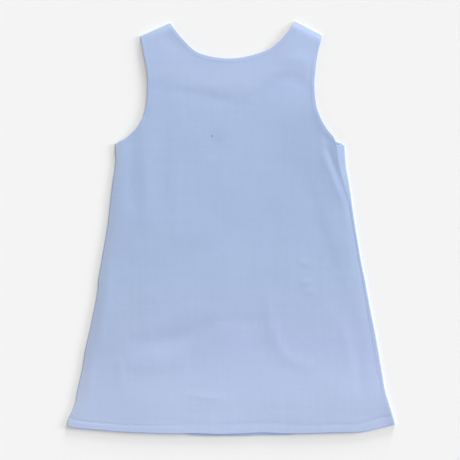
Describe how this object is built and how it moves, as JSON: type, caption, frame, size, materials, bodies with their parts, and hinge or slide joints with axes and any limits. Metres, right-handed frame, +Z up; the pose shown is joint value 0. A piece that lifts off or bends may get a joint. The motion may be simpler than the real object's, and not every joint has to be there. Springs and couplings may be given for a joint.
{
  "type": "child's sleeveless apron dress, laid flat",
  "caption": "Child's sleeveless A-line apron dress in light blue cotton, laid flat on its front with the back panel up.",
  "frame": {"origin": "on the surface that the dress lies on, under the middle of its outline", "axes": "+Y from the hem up to the neck, +X across to the side whose seam shows, +Z up from the surface"},
  "size_m": [0.4144, 0.5206, 0.0051],
  "materials": {
    "back_cotton": "matte plain-woven cotton",
    "front_cotton": "matte plain-woven cotton"
  },
  "bodies": {
    "root": {"back_panel": "back_cotton", "front_panel": "front_cotton"}
  },
  "joints": []
}
